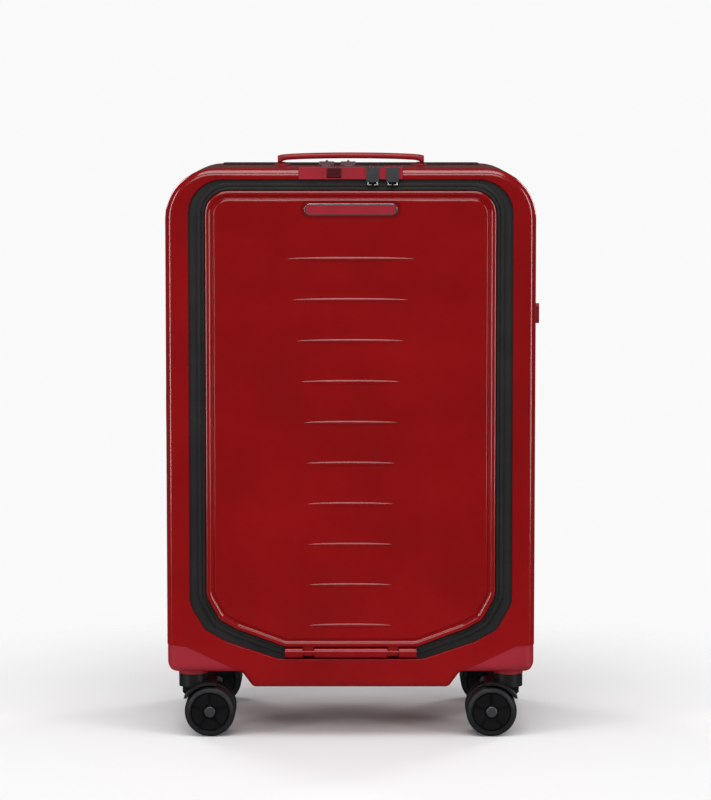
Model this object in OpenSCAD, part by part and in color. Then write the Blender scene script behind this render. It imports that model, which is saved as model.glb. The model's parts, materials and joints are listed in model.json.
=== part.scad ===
// Hard shell cabin suitcase with a front pocket door, an expander and four twin-wheel casters.
// Millimetres. The floor is z = 0, the front faces -Y, and x = 0 and y = 0 are mid width and mid depth.

/* [Case] */
// Width over the side walls
body_w = 347; // [330:1:420]
// Depth from the door's ribs to the back face
body_d = 230; // [220:1:290]
// Height of the shells' top above the floor
body_top = 538; // [500:1:700]
// Height of the keel's flat underside above the floor
keel_z = 48; // [46:1:54]
// Height of the shells' underside beside the keel
belly_z = 62; // [60:1:70]
// Width of the keel's flat underside
keel_w = 185; // [150:1:190]
// Radius of the top corners, seen from the front
corner_r = 47; // [35:1:60]
// Radius of the lower corners, seen from the front
low_corner_r = 12; // [8:1:20]
// Rounding of the front and back edges
edge_r = 10; // [6:1:12]
// Wall of the shells
wall = 2.5; // [1.5:0.1:3.5]
// Depth of the front half, from the door's ribs to the main zip
front_depth = 105; // [100:1:125]

/* [Zips] */
// Width of one woven tape beside the main zip's teeth
tape_w = 6; // [5:0.5:8]
// Width of the band that the expander moves, along the depth
expander_w = 16; // [14:1:24]
// How far the expander opens
expander_travel = 40; // [20:1:60]
// How far the zip bands lie below the shells' surface
tape_sink = 1; // [0.5:0.1:1.5]
// Thickness of the zip bands
tape_t = 2.5; // [2:0.1:3.5]

/* [Pocket door] */
// Width of the pocket door
door_w = 272; // [240:1:300]
// Gap from the shells' top to the door's top edge
door_top_gap = 21; // [18:1:30]
// Height of the door's lower edge above the floor
door_low_z = 87.5; // [84:0.5:100]
// Radius of the door's top corners
door_r = 22; // [12:1:40]
// Thickness of the door's plate
door_t = 3; // [2:0.1:4]
// Width of the zip channel at the door's sides
channel_w = 15.7; // [12:0.1:18]
// Width of the zip channel above the door
channel_top_w = 10; // [8:0.1:12]
// Depth of the front pocket behind the zip
pocket_depth = 38; // [25:1:45]
// Number of ribs on the door
rib_count = 10; // [4:1:14]
// Distance between ribs
rib_pitch = 38.4; // [20:0.1:45]
// Height of the lowest rib above the door's lower edge
rib_start = 20.5; // [15:0.5:40]
// How far the ribs stand out of the door's panel
rib_h = 1.2; // [0.6:0.1:1.8]

/* [Casters] */
// Wheel diameter
wheel_d = 48; // [40:1:50]
// Width of one wheel
wheel_w = 18; // [12:1:20]
// Distance from the swivel axis back to the wheel's axle
trail = 16.5; // [10:0.5:20]
// Distance from the case's side to the swivel axis
swivel_inset = 23.5; // [20:0.5:30]
// Distance from the front or back to the swivel axis
swivel_depth = 31; // [28:0.5:36]
// Diameter of the wheel's axle
axle_d = 6; // [4:0.5:8]
// Diameter of the swivel pin
pin_d = 8; // [6:0.5:10]
// Depth of a corner housing, front to back
housing_d = 70; // [62:1:74]
// Height of a corner housing at the case's side
housing_h = 29; // [24:1:36]

/* [Telescopic handle] */
// Distance between the two tubes
tube_span = 190; // [150:1:200]
// Width of the outer tubes
tube_w = 26; // [24:0.5:30]
// Depth of the outer tubes
tube_d = 17; // [16:0.5:20]
// Wall of the tubes
tube_wall = 1.2; // [0.8:0.1:1.4]
// Travel of each stage
stage_travel = 236; // [150:1:260]
// Length of the grip
grip_w = 228; // [200:1:232]
// Depth of the grip
grip_d = 21.5; // [19:0.5:23]
// Height of the grip
grip_h = 23; // [18:0.5:25]

/* [Carry handles] */
// Length of the carry handles
carry_w = 142; // [120:1:160]
// Width of the carry handles
carry_d = 24; // [20:1:26]
// How far the top handle stands above the case
carry_rise = 12; // [11.5:0.5:16]
// How far the side handle stands out of the case
side_rise = 9; // [9:0.5:14]
// How far the carry handles pull out
carry_lift = 16; // [10:1:18]

/* [Lock] */
// Length of the lock
lock_w = 97; // [90:1:120]
// Diameter of the number dials
dial_d = 11; // [10:0.5:11.5]

/* [Hidden] */

$fn = 48;
fit = 0.15;                 // gap between pieces that are fixed together
run = 0.05;                 // radial gap round a pin or axle
free = 0.4;                 // gap between pieces that move past each other

hw = body_w / 2;
front_y = -body_d / 2;
back_y = body_d / 2;
face_y = front_y + 5;       // the border's face, behind the door's ribs
split_y = front_y + front_depth;
back_rim_y = split_y + expander_w + 2 * fit;

// Outlines, seen from the front as [x, z], anticlockwise
keel_shoulder = keel_w / 2 + 10.5;
belly_pts = [[-hw, belly_z], [hw, belly_z], [hw, body_top], [-hw, body_top]];
belly_radii = [low_corner_r, low_corner_r, corner_r, corner_r];
case_pts = [[-keel_w / 2, keel_z], [keel_w / 2, keel_z], [keel_shoulder, belly_z], [hw, belly_z],
            [hw, body_top], [-hw, body_top], [-hw, belly_z], [-keel_shoulder, belly_z]];
case_radii = [6, 6, 4, low_corner_r, corner_r, corner_r, low_corner_r, 4];

door_top = body_top - door_top_gap;
door_hw = door_w / 2;
door_pts = [[-62, door_low_z], [62, door_low_z], [door_hw - 28, door_low_z + 17],
            [door_hw - 12, door_low_z + 26], [door_hw, door_low_z + 48], [door_hw, door_top],
            [-door_hw, door_top], [-door_hw, door_low_z + 48], [12 - door_hw, door_low_z + 26],
            [28 - door_hw, door_low_z + 17]];
door_radii = [20, 20, 20, 12, 20, door_r, door_r, 20, 12, 20];
channel_low_z = door_low_z - 12;
channel_hw = door_hw + channel_w;
channel_top = door_top + channel_top_w;
channel_pts = [[-68, channel_low_z], [68, channel_low_z], [channel_hw - 34, channel_low_z + 16.5],
               [channel_hw - 14, channel_low_z + 27.5], [channel_hw, channel_low_z + 52],
               [channel_hw, channel_top], [-channel_hw, channel_top],
               [-channel_hw, channel_low_z + 52], [14 - channel_hw, channel_low_z + 27.5],
               [34 - channel_hw, channel_low_z + 16.5]];
channel_radii = [20, 20, 20, 12, 20, door_r + 10, door_r + 10, 20, 12, 20];

// Corner housings
housing_top = belly_z + housing_h;
housing_pts = [[-hw - 10, belly_z - 30], [-keel_shoulder, belly_z - 30], [-keel_shoulder, belly_z],
               [18.5 - hw, housing_top - 3], [-hw - 10, housing_top]];
swivel_x = hw - swivel_inset;
swivel_y = back_y - swivel_depth;
cap_z = belly_z - 3.7;      // underside of the housing's swivel cap
fork_top_z = cap_z - 0.3;
wheel_r = wheel_d / 2;
web_t = 8;                  // the fork's middle web
wheel_gap = 0.4;
hood_r = wheel_r + 1.5;     // inside of the fork's hood
hood_t = 2.5;
cap_t = 1;                  // heads on the axle
axle_half = web_t / 2 + wheel_gap + wheel_w + wheel_gap + cap_t;

// Telescopic handle
tube_y = back_y - 24;
middle_w = tube_w - 2 * tube_wall - 0.6;
middle_d = tube_d - 2 * tube_wall - 0.6;
inner_w = middle_w - 2 * tube_wall - 0.6;
inner_d = middle_d - 2 * tube_wall - 0.6;
grip_top = body_top - 1;
grip_low = grip_top - grip_h;
socket_floor = grip_low - 9;
socket_hw = grip_w / 2 + 9;
socket_y0 = tube_y - 35;
socket_y1 = tube_y + grip_d / 2 + 3;
tube_low = belly_z + 5;
bracket_low_z = belly_z + 22;
bracket_top_z = socket_floor - 32;

// Carry handles
carry_t = 5.5;              // thickness of the top handle's grip
side_t = 4.2;               // thickness of the side handle's strap
leg_x = carry_w / 2 - 5;    // the legs that slide in the mounts
leg_t = 4;
leg_drop = carry_lift + 4;
well_drop = leg_drop + 2;
top_carry_y = back_rim_y + 22;
side_carry_y = back_y - 55;
side_carry_z = (body_top + belly_z) / 2;

// Lock
lock_front = face_y - 0.8;
lock_rear = lock_front + 45;
lock_top = body_top + 0.4;
lock_low = channel_top + 0.8;
button_x = -15.5;
dial_x = 15;
dial_pitch = 7;
dial_y = lock_front + 26;
dial_z = lock_top + 1.6 - dial_d / 2;

// Zip sliders and pulls
main_slider_x = [-23, -2.5];
pocket_slider_x = [20.5, 39];
pocket_slider_z = channel_top - 4.6;
expander_slider_z = body_top - 124;
pull_wire = 1;

// ---- Outline functions ----

// Unit normal out of an anticlockwise edge
function normal_of(a, b) = let (d = b - a) [d.y, -d.x] / norm(d);

// Moves every edge of a polygon outwards by d
function grow(pts, d) = let (n = len(pts)) [
    for (i = [0:n - 1])
        let (u = normal_of(pts[(i + n - 1) % n], pts[i]), v = normal_of(pts[i], pts[(i + 1) % n]))
        pts[i] + d * (u + v) / (1 + u * v)];

// Points of the arc that rounds corner p, between its neighbours a and b
function corner_arc(a, p, b, r, steps = 9) =
    r <= 0.05 ? [p] :
    let (u = (a - p) / norm(a - p), v = (b - p) / norm(b - p), half = acos(u * v) / 2,
         centre = p + (u + v) / norm(u + v) * r / sin(half),
         first = p + u * r / tan(half) - centre, last = p + v * r / tan(half) - centre,
         start = atan2(first.y, first.x),
         sweep = (atan2(last.y, last.x) - start + 540) % 360 - 180)
    [for (k = [0:steps]) centre + r * [cos(start + sweep * k / steps), sin(start + sweep * k / steps)]];

// A polygon grown by d, with its corners rounded
function outline(pts, radii, d = 0) =
    let (g = grow(pts, d), n = len(pts)) [
    for (i = [0:n - 1])
        let (a = g[(i + n - 1) % n], b = g[(i + 1) % n], turn = cross(g[i] - a, b - g[i]))
        each corner_arc(a, g[i], b, radii[i] + (turn > 0 ? d : -d))];

// A rectangle with rounded corners, centred
function rounded_rect(w, h, r) =
    outline([[-w / 2, -h / 2], [w / 2, -h / 2], [w / 2, h / 2], [-w / 2, h / 2]], [r, r, r, r]);

// ---- Shared solids ----

// A front-view outline, solid from y0 to y1
module slab(y0, y1)
    translate([0, y1, 0]) rotate([90, 0, 0]) linear_extrude(y1 - y0) children();

// A box given by its lowest and highest corners
module span(low, high) translate(low) cube(high - low);

// A bar with rounded long edges along z, centred in x and y
module bar(w, d, h, r) linear_extrude(h) polygon(rounded_rect(w, d, r));

// Solid form of one half of the case: a front-view outline, its edges rounded at the face, cut flat at the rim
module half_form(face, rim, inset, pts = case_pts, radii = case_radii) {
    if (face > rim) mirror([0, 1, 0]) half_form(-face, -rim, inset, pts, radii);
    else {
        r = edge_r - inset;
        side = hw - inset;
        low = pts[0].y + inset;
        high = body_top - inset;
        near = face + inset;
        intersection() {
            slab(near, rim) polygon(outline(pts, radii, -inset));
            linear_extrude(body_top + 10)
                polygon(outline([[-side, near], [side, near], [side, rim + 1], [-side, rim + 1]], [r, r, 0, 0]));
            translate([-hw - 10, 0, 0]) rotate([90, 0, 90]) linear_extrude(body_w + 20)
                polygon(outline([[near, low], [rim + 1, low], [rim + 1, high], [near, high]], [r, 0, 0, r]));
        }
    }
}

// Front housings' room, from the border's face inwards
module front_housing_room(d)
    for (side = [0, 1]) mirror([side, 0, 0])
        slab(front_y - 5, face_y + housing_d + d) polygon(grow(housing_pts, d));

module back_housing_room(d)
    for (side = [0, 1]) mirror([side, 0, 0])
        slab(back_y - housing_d - d, back_y + 5) polygon(grow(housing_pts, d));

// ---- Back half ----

module back_shell() color("#8a0a0e") difference() {
    half_form(back_y, back_rim_y, 0);
    difference() {
        half_form(back_y, back_rim_y - 1, wall);
        back_housing_room(wall + fit);
    }
    back_housing_room(fit);
    // opening for the handle socket
    span([-socket_hw - fit, socket_y0 - fit, socket_floor - 6], [socket_hw + fit, socket_y1 + fit, body_top + 5]);
    // openings for the carry handles' mounts
    for (side = [-1, 1]) {
        translate([side * leg_x, top_carry_y, body_top - 10]) well_form(fit, 20);
        translate([10 - hw, side_carry_y, side_carry_z + side * leg_x]) rotate([0, -90, 0]) well_form(fit, 20);
    }
}

// Body of a handle mount's well: standing on z = 0
module well_form(grown, h) {
    w = leg_t + 5 + 2 * grown;
    d = carry_d - 4 + 2 * grown;
    translate([-w / 2, -d / 2, 0]) cube([w, d, h]);
}

lining_t = 1.2;
lining_gap = 0.4;
tunnel_hw = tube_span / 2 + tube_w / 2 + 6;
tunnel_y = tube_y - tube_d / 2 - 4;

module back_lining() color("#3a3c40") difference() {
    half_form(back_y, back_rim_y + 4, wall + lining_gap);
    difference() {
        half_form(back_y, back_rim_y, wall + lining_gap + lining_t);
        back_housing_room(wall + fit + lining_gap + lining_t);
        span([-tunnel_hw - lining_t, tunnel_y - lining_t, 0],
             [tunnel_hw + lining_t, back_y, body_top]);
    }
    back_housing_room(wall + fit + lining_gap);
    span([-tunnel_hw, tunnel_y, 0], [tunnel_hw, back_y + 5, body_top]);
    span([-socket_hw - 1, socket_y0 - 1, socket_floor - 8], [socket_hw + 1, back_y, body_top + 5]);
    for (side = [-1, 1]) {
        translate([side * leg_x, top_carry_y, body_top - well_drop - 4]) well_form(1, well_drop + 8);
        translate([well_drop + 4 - hw, side_carry_y, side_carry_z + side * leg_x])
            rotate([0, -90, 0]) well_form(1, well_drop + 8);
    }
}

module handle_socket() color("#18181a") difference() {
    union() {
        span([-socket_hw, socket_y0, socket_floor - 3], [socket_hw, socket_y1, body_top + 0.5]);
        translate([0, (socket_y0 + socket_y1) / 2, body_top + fit])
            bar(2 * socket_hw + 6, socket_y1 - socket_y0 + 4, 0.8, 6);
    }
    // finger well and grip seat
    translate([0, (socket_y0 + socket_y1) / 2, socket_floor])
        bar(2 * socket_hw - 4, socket_y1 - socket_y0 - 4, body_top, 4);
    for (side = [-1, 1]) translate([side * tube_span / 2, tube_y, socket_floor - 10])
        bar(tube_w + 2 * fit, tube_d + 2 * fit, 20, 3.2);
}

// One open tube with rounded edges
module tube(w, d, z0, z1, r) translate([0, 0, z0]) difference() {
    bar(w, d, z1 - z0, r);
    translate([0, 0, -1]) bar(w - 2 * tube_wall, d - 2 * tube_wall, z1 - z0 + 2, r - tube_wall);
}

module tube_pair() for (side = [-1, 1]) translate([side * tube_span / 2, tube_y, 0]) children();

module outer_tubes() color("#b9bcc0") tube_pair() tube(tube_w, tube_d, tube_low, socket_floor, 3);

module middle_tubes() color("#c6c9cc") tube_pair() {
    tube(middle_w, middle_d, tube_low + 4, socket_floor + 1, 2.6);
    translate([0, 0, socket_floor + 0.3]) difference() {
        bar(tube_w, tube_d, 4, 3);
        translate([0, 0, -1]) bar(inner_w + 0.6, inner_d + 0.6, 6, 2);
    }
}

module inner_tubes() color("#d3d5d8") tube_pair() tube(inner_w, inner_d, tube_low + 8, grip_low + 5, 2);

module tube_brackets() color("#1c1c1e") for (z = [bracket_low_z, bracket_top_z]) difference() {
    span([-tube_span / 2 - tube_w / 2 - 5, tube_y - tube_d / 2 - 3, z],
         [tube_span / 2 + tube_w / 2 + 5, back_y - wall - fit, z + 16]);
    span([-tube_span / 2 + tube_w / 2 + 5, tube_y - tube_d, z - 1],
         [tube_span / 2 - tube_w / 2 - 5, tube_y + tube_d / 2 + 3, z + 17]);
    tube_pair() translate([0, 0, z - 1]) bar(tube_w + 2 * fit, tube_d + 2 * fit, 18, 3.2);
}

button_w = 32;
button_d = 11;
button_travel = 3;

module grip() color("#151517") difference() {
    intersection() {
        translate([0, tube_y, grip_low]) bar(grip_w, grip_d, grip_h, 7);
        translate([0, 0, grip_low]) slab(tube_y - grip_d, tube_y + grip_d)
            polygon(outline([[-grip_w / 2, 0], [grip_w / 2, 0], [grip_w / 2, grip_h], [-grip_w / 2, grip_h]],
                            [4, 4, 9, 9]));
    }
    tube_pair() translate([0, 0, grip_low - 1]) bar(inner_w + 2 * fit, inner_d + 2 * fit, 8, 2.1);
    translate([0, tube_y, grip_top - 9]) bar(button_w + 2 * free, button_d + 2 * free, 12, 4);
}

module grip_button() color("#2a2a2d") translate([0, tube_y, grip_top - 8.5 + button_travel])
    bar(button_w, button_d, 8.5 - button_travel + 0.8, 3.6);

// A soft carry handle: its grip bows up from two legs, standing on z = 0
module carry_handle(rise, t) {
    half = carry_w / 2;
    end = 8;
    union() {
        slab(-carry_d / 2, carry_d / 2) polygon(concat(
            [for (k = [0:12]) let (s = k / 12) [half - end - 2 * (half - end) * s,
                                                rise - t + 0.35 * sin(180 * s) - 0.35]],
            [[-half + end, 1.2], [-half, 1.2]],
            [for (k = [0:12]) let (s = k / 12) [-half + 2 * half * s, rise - 3.2 + 3.2 * pow(sin(180 * s), 0.5)]],
            [[half, 1.2], [half - end, 1.2]]));
        for (side = [-1, 1]) translate([side * leg_x - leg_t / 2, 5 - carry_d / 2, -leg_drop])
            cube([leg_t, carry_d - 10, leg_drop + 3]);
    }
}

// The pair of mounts that a carry handle's legs slide in
module carry_mounts() for (side = [-1, 1]) translate([side * leg_x, 0, 0]) difference() {
    union() {
        translate([0, 0, fit]) bar(leg_t + 11, carry_d + 2, 0.8, 3);
        translate([0, 0, -well_drop]) well_form(0, well_drop + fit + 0.4);
    }
    translate([-leg_t / 2 - free, 5 - free - carry_d / 2, -leg_drop - free])
        cube([leg_t + 2 * free, carry_d - 10 + 2 * free, leg_drop + 10]);
}

module at_top_carry() translate([0, top_carry_y, body_top]) children();
module at_side_carry() translate([-hw, side_carry_y, side_carry_z]) rotate([0, -90, 0]) children();

module top_handle() color("#a30f22") at_top_carry() carry_handle(carry_rise, carry_t);
module top_handle_mounts() color("#8a0a0e") at_top_carry() carry_mounts();
module side_handle() color("#a30f22") at_side_carry() carry_handle(side_rise, side_t);
module side_handle_mounts() color("#8a0a0e") at_side_carry() carry_mounts();

// ---- Corner housings and casters ----

// Front housing on the left; the others are its mirror images
module housing() color("#a3102b") difference() {
    union() {
        intersection() {
            half_form(face_y, face_y + housing_d + 20, 0.4, belly_pts, belly_radii);
            slab(face_y - 5, face_y + housing_d) polygon(grow(housing_pts, 0));
        }
        translate([-swivel_x, -swivel_y, cap_z]) cylinder(h = belly_z + 2 - cap_z, r = 13.8);
    }
    translate([-swivel_x, -swivel_y, cap_z - 1]) cylinder(h = 22, d = pin_d + 2 * run);
}

module front_housing_left() housing();
module front_housing_right() mirror([1, 0, 0]) housing();

module rear_housing_form() color("#a3102b") difference() {
    union() {
        intersection() {
            half_form(back_y, back_y - housing_d - 20, 0.4, belly_pts, belly_radii);
            slab(back_y - housing_d, back_y + 5) polygon(grow(housing_pts, 0));
        }
        translate([-swivel_x, swivel_y, cap_z]) cylinder(h = belly_z + 2 - cap_z, r = 13.8);
    }
    translate([-swivel_x, swivel_y, cap_z - 1]) cylinder(h = 22, d = pin_d + 2 * run);
}

module rear_housing_left() rear_housing_form();
module rear_housing_right() mirror([1, 0, 0]) rear_housing_form();

fork_floor = fork_top_z - 9;

module swivel_pins(y) color("#9a9ca0") for (side = [-1, 1])
    translate([side * swivel_x, y, fork_floor + 0.4]) cylinder(h = cap_z + 20 - fork_floor, d = pin_d);

module front_swivel_pins() swivel_pins(-swivel_y);
module rear_swivel_pins() swivel_pins(swivel_y);

// A caster that stands on its swivel axis at x = 0, y = 0, with its wheels towards +x
module fork() color("#1b1b1d") difference() {
    union() {
        translate([0, 0, fork_floor - 3]) cylinder(h = fork_top_z - fork_floor + 3, r = 13.5);
        // hood over the wheels
        translate([trail, 0, wheel_r]) rotate([90, 0, 0]) intersection() {
            cylinder(h = 2 * axle_half - 2, r = hood_r + hood_t, center = true);
            translate([-50, 13, -50]) cube([56, 50, 100]);
        }
        // web between the wheels
        hull() {
            translate([trail, 0, wheel_r]) rotate([90, 0, 0]) cylinder(h = web_t, r = 7, center = true);
            translate([0, 0, wheel_r + 19]) cube([20, web_t, 6], center = true);
        }
    }
    // room for the two wheels
    for (side = [-1, 1]) translate([trail, side * (web_t / 2 + 20), wheel_r]) rotate([90, 0, 0])
        cylinder(h = 40, r = hood_r, center = true);
    translate([trail, 0, wheel_r]) rotate([90, 0, 0]) cylinder(h = 20, d = axle_d + 2 * run, center = true);
    translate([0, 0, fork_floor]) cylinder(h = 20, d = pin_d + 2 * run);
}

module axle() color("#8f9196") translate([trail, 0, wheel_r]) rotate([90, 0, 0]) {
    cylinder(h = 2 * axle_half, d = axle_d, center = true);
    for (side = [-1, 1]) translate([0, 0, side * (axle_half - cap_t / 2)])
        cylinder(h = cap_t, d = axle_d + 4, center = true);
}

tyre_t = 5.5;

// One wheel, its inner face towards the web on the -y side of the caster
module wheel() color("#1a1a1c") translate([trail, -web_t / 2 - wheel_gap, wheel_r]) rotate([90, 0, 0]) {
    // tyre, rounded at its outer edges
    rotate_extrude() translate([wheel_r - tyre_t, 0])
        polygon(outline([[0, 0], [tyre_t, 0], [tyre_t, wheel_w], [0, wheel_w]], [0, 2, 4, 0]));
    // hub with five grooves between its pads
    difference() {
        cylinder(h = wheel_w - 1, r = wheel_r - tyre_t - fit);
        translate([0, 0, -1]) cylinder(h = wheel_w + 2, d = axle_d + 2 * run);
        for (k = [0:4]) rotate([0, 0, 90 + 72 * k]) translate([6.5, -1.5, wheel_w - 4])
            cube([wheel_r - tyre_t - 9, 3, 5]);
    }
}

// Places a caster piece: side is -1 left or 1 right, end is -1 front or 1 rear
module at_caster(side, end) translate([side * swivel_x, end * swivel_y, 0])
    mirror([side > 0 ? 1 : 0, 0, 0]) children();

module fork_front_left() at_caster(-1, -1) fork();
module fork_front_right() at_caster(1, -1) fork();
module fork_rear_left() at_caster(-1, 1) fork();
module fork_rear_right() at_caster(1, 1) fork();
module axle_front_left() at_caster(-1, -1) axle();
module axle_front_right() at_caster(1, -1) axle();
module axle_rear_left() at_caster(-1, 1) axle();
module axle_rear_right() at_caster(1, 1) axle();
module wheel_front_left_a() at_caster(-1, -1) wheel();
module wheel_front_left_b() at_caster(-1, -1) mirror([0, 1, 0]) wheel();
module wheel_front_right_a() at_caster(1, -1) wheel();
module wheel_front_right_b() at_caster(1, -1) mirror([0, 1, 0]) wheel();
module wheel_rear_left_a() at_caster(-1, 1) wheel();
module wheel_rear_left_b() at_caster(-1, 1) mirror([0, 1, 0]) wheel();
module wheel_rear_right_a() at_caster(1, 1) wheel();
module wheel_rear_right_b() at_caster(1, 1) mirror([0, 1, 0]) wheel();

// ---- Expander band ----

// A band round the case between y0 and y1, below the shells' surface by sink
module band(y0, y1, sink, t) slab(y0, y1) difference() {
    polygon(outline(case_pts, case_radii, -sink));
    polygon(outline(case_pts, case_radii, -sink - t));
}

module expander_frame() color("#17171a") {
    band(split_y + fit, split_y + fit + expander_w, tape_sink, tape_t);
    band(split_y + expander_w / 2 - 2, split_y + expander_w / 2 + 2, 0, tape_sink + 1);
    // end tab of the expander zip
    span([hw - tape_sink - 1, split_y + expander_w / 2 - 2, expander_slider_z - 161],
         [hw + 1.5, split_y + expander_w / 2 + 2, expander_slider_z - 151]);
}

// A zip slider lying on z = 0: its shoe, and the bridge with a hole at height eye for the pull's wire
module slider(w, l, shoe, bridge, eye, eye_d) difference() {
    union() {
        bar(w, l, shoe, 2);
        translate([0, 0, shoe / 2]) bar(2.4, l - 3, bridge - shoe / 2, 0.8);
    }
    translate([0, 0, eye]) rotate([0, 90, 0]) cylinder(h = 10, d = eye_d, center = true);
}

expander_y = back_rim_y - fit;

module expander_slider() color("#3c3d40") translate([hw + 0.3, expander_y, expander_slider_z])
    rotate([0, 90, 0]) rotate([0, 0, 90]) slider(9, 12, 2.2, 5.6, 3.6, 2.6);

module expander_pull() color("#a30f22") translate([0, expander_y, 0]) {
    // wire loop through the bridge, then a moulded tab
    x = hw + 3.9;
    top = expander_slider_z;
    for (side = [-1, 1]) translate([x, side * 4.4, top - 10]) cylinder(h = 10, r = pull_wire);
    translate([x, 0, top]) rotate([90, 0, 0]) cylinder(h = 10.8, r = pull_wire, center = true);
    translate([x, 0, top - 19]) rotate([0, 90, 0]) translate([0, 0, -pull_wire])
        linear_extrude(hw + side_rise - x + pull_wire) polygon(rounded_rect(19, 12, 3));
}

// ---- Front half ----

module front_shell() color("#8a0a0e") difference() {
    half_form(face_y, split_y - tape_w, 0);
    difference() {
        half_form(face_y, split_y - tape_w + 1, wall);
        front_housing_room(wall + fit);
    }
    front_housing_room(fit);
    slab(front_y - 5, face_y + 20) polygon(outline(channel_pts, channel_radii));
    // seat of the lock
    span([-lock_w / 2 - fit, front_y, lock_low - fit], [lock_w / 2 + fit, lock_rear + fit, body_top + 5]);
}

module main_zip() color("#17171a") band(split_y - tape_w + fit, split_y - fit, tape_sink, tape_t);

tape_y = face_y + 2.5;

module pocket_zip() color("#1d1b1b") difference() {
    slab(tape_y, tape_y + 2) difference() {
        polygon(outline(channel_pts, channel_radii, -fit));
        polygon(outline(door_pts, door_radii, free));
    }
    // the door's hinge takes the tape's place below
    span([-hinge_w / 2 - fit, front_y, 0], [hinge_w / 2 + fit, face_y + 20, door_low_z + 5]);
}

liner_t = 2;
liner_y = tape_y + 2 + fit;

module pocket_liner() color("#2c2e33") difference() {
    slab(liner_y, liner_y + pocket_depth + liner_t) polygon(outline(channel_pts, channel_radii, -1));
    slab(liner_y - 1, liner_y + pocket_depth) polygon(outline(channel_pts, channel_radii, -1 - liner_t));
    // room for the hinge's back
    span([-hinge_w / 2 - free, front_y, 0], [hinge_w / 2 + free, hinge_back + free, door_low_z + 2]);
}

// Door hinge: a fixed bar with two slots, a steel pin, and two knuckles on the door
hinge_w = 124;
hinge_z = door_low_z - 5.9;
hinge_y = face_y + 2;
hinge_r = 5.3;
hinge_pin_d = 3;
hinge_back = hinge_y + 7;
knuckle_x = 40;
knuckle_w = 10;
knuckle_r = 3.6;

module door_hinge() color("#8a0a0e") difference() {
    union() {
        translate([0, hinge_y, hinge_z]) rotate([0, 90, 0]) cylinder(h = hinge_w, r = hinge_r, center = true);
        span([-hinge_w / 2, hinge_y, hinge_z - hinge_r], [hinge_w / 2, hinge_back, hinge_z + hinge_r]);
    }
    translate([0, hinge_y, hinge_z]) rotate([0, 90, 0])
        cylinder(h = hinge_w - 12, d = hinge_pin_d + 2 * run, center = true);
    for (side = [-1, 1]) span([side * knuckle_x - knuckle_w / 2 - free, hinge_y - 10, hinge_z - 10],
                              [side * knuckle_x + knuckle_w / 2 + free, hinge_y + knuckle_r + 1, hinge_z + 10]);
}

module hinge_pin() color("#9a9ca0") translate([0, hinge_y, hinge_z]) rotate([0, 90, 0])
    cylinder(h = hinge_w - 14, d = hinge_pin_d, center = true);

panel_inset = 8;
badge_w = 93;
badge_h = 17;
badge_z = door_top - 17.5;
door_back = front_y + 6;

// A lens-shaped rib, its middle at the origin
module rib(l) slab(-rib_h, 0.5) polygon(concat(
    [for (k = [0:12]) [l / 2 - l * k / 12, 2.2 * sin(180 * k / 12)]],
    [for (k = [1:11]) [l * k / 12 - l / 2, -2.2 * sin(180 * k / 12)]]));

function rib_length(i) = 80 + 40 * pow(i / (rib_count - 1), 2.5);

module pocket_door() color("#8a0a0e") difference() {
    union() {
        slab(door_back - door_t, door_back) polygon(outline(door_pts, door_radii));
        // rim, then a groove, then the raised panel
        slab(front_y + 1.7, door_back) difference() {
            polygon(outline(door_pts, door_radii));
            polygon(outline(door_pts, door_radii, -5));
        }
        slab(front_y + rib_h, door_back) polygon(outline(door_pts, door_radii, -panel_inset));
        for (i = [0:rib_count - 1]) translate([0, front_y + rib_h, door_low_z + rib_start + rib_pitch * i])
            rib(rib_length(i));
        for (side = [-1, 1]) translate([side * knuckle_x, 0, 0]) {
            translate([0, hinge_y, hinge_z]) rotate([0, 90, 0])
                cylinder(h = knuckle_w, r = knuckle_r, center = true);
            span([-knuckle_w / 2, hinge_y - knuckle_r, hinge_z],
                 [knuckle_w / 2, hinge_y, door_low_z + 3]);
        }
    }
    // seat of the badge
    translate([0, 0, badge_z]) slab(front_y - 1, front_y + rib_h + 1.4)
        polygon(rounded_rect(badge_w, badge_h, badge_h / 2 - 0.1));
    translate([0, hinge_y, hinge_z]) rotate([0, 90, 0])
        cylinder(h = hinge_w, d = hinge_pin_d + 2 * run, center = true);
}

module badge_plate() color("#8f9196") translate([0, 0, badge_z])
    slab(front_y + rib_h + 0.1, front_y + rib_h + 1.4 - fit)
        polygon(rounded_rect(badge_w - 6, badge_h - 5.8, badge_h / 2 - 3));

// The main pulls' tabs end on the lock's top
tip_w = 8;

module lock_housing() color("#8a0a0e") difference() {
    span([-lock_w / 2, lock_front, lock_low], [lock_w / 2, lock_rear, lock_top]);
    // button
    span([button_x - 6.5 - free, front_y, lock_low + 1], [button_x + 6.5 + free, lock_front + 14, lock_top + 5]);
    // dials
    for (i = [0:2]) translate([dial_x + dial_pitch * i, dial_y, dial_z]) rotate([0, 90, 0])
        cylinder(h = 5.2, d = dial_d + 2 * free, center = true);
    translate([dial_x + dial_pitch, dial_y, dial_z]) rotate([0, 90, 0])
        cylinder(h = 26, d = 3 + 2 * run, center = true);
}

module lock_button() color("#5e0a10")
    span([button_x - 6.5, lock_front, lock_low + 1 + free], [button_x + 6.5, lock_front + 10.5, lock_top + 0.2]);

module lock_dial(i) color("#2a2a2d") translate([dial_x + dial_pitch * i, dial_y, dial_z]) rotate([0, 90, 0])
    difference() {
        cylinder(h = 4.4, d = dial_d, center = true);
        for (k = [0:9]) rotate([0, 0, 36 * k]) translate([dial_d / 2 + 0.4, 0, 0]) cylinder(h = 6, d = 1.6, center = true, $fn = 16);
        cylinder(h = 6, d = 3 + 2 * run, center = true);
    }

module lock_dial_1() lock_dial(0);
module lock_dial_2() lock_dial(1);
module lock_dial_3() lock_dial(2);

// Main zip's sliders ride on the front half's tape, on top of the case
slider_lift = 0.4;
main_bridge = 4.9;

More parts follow.
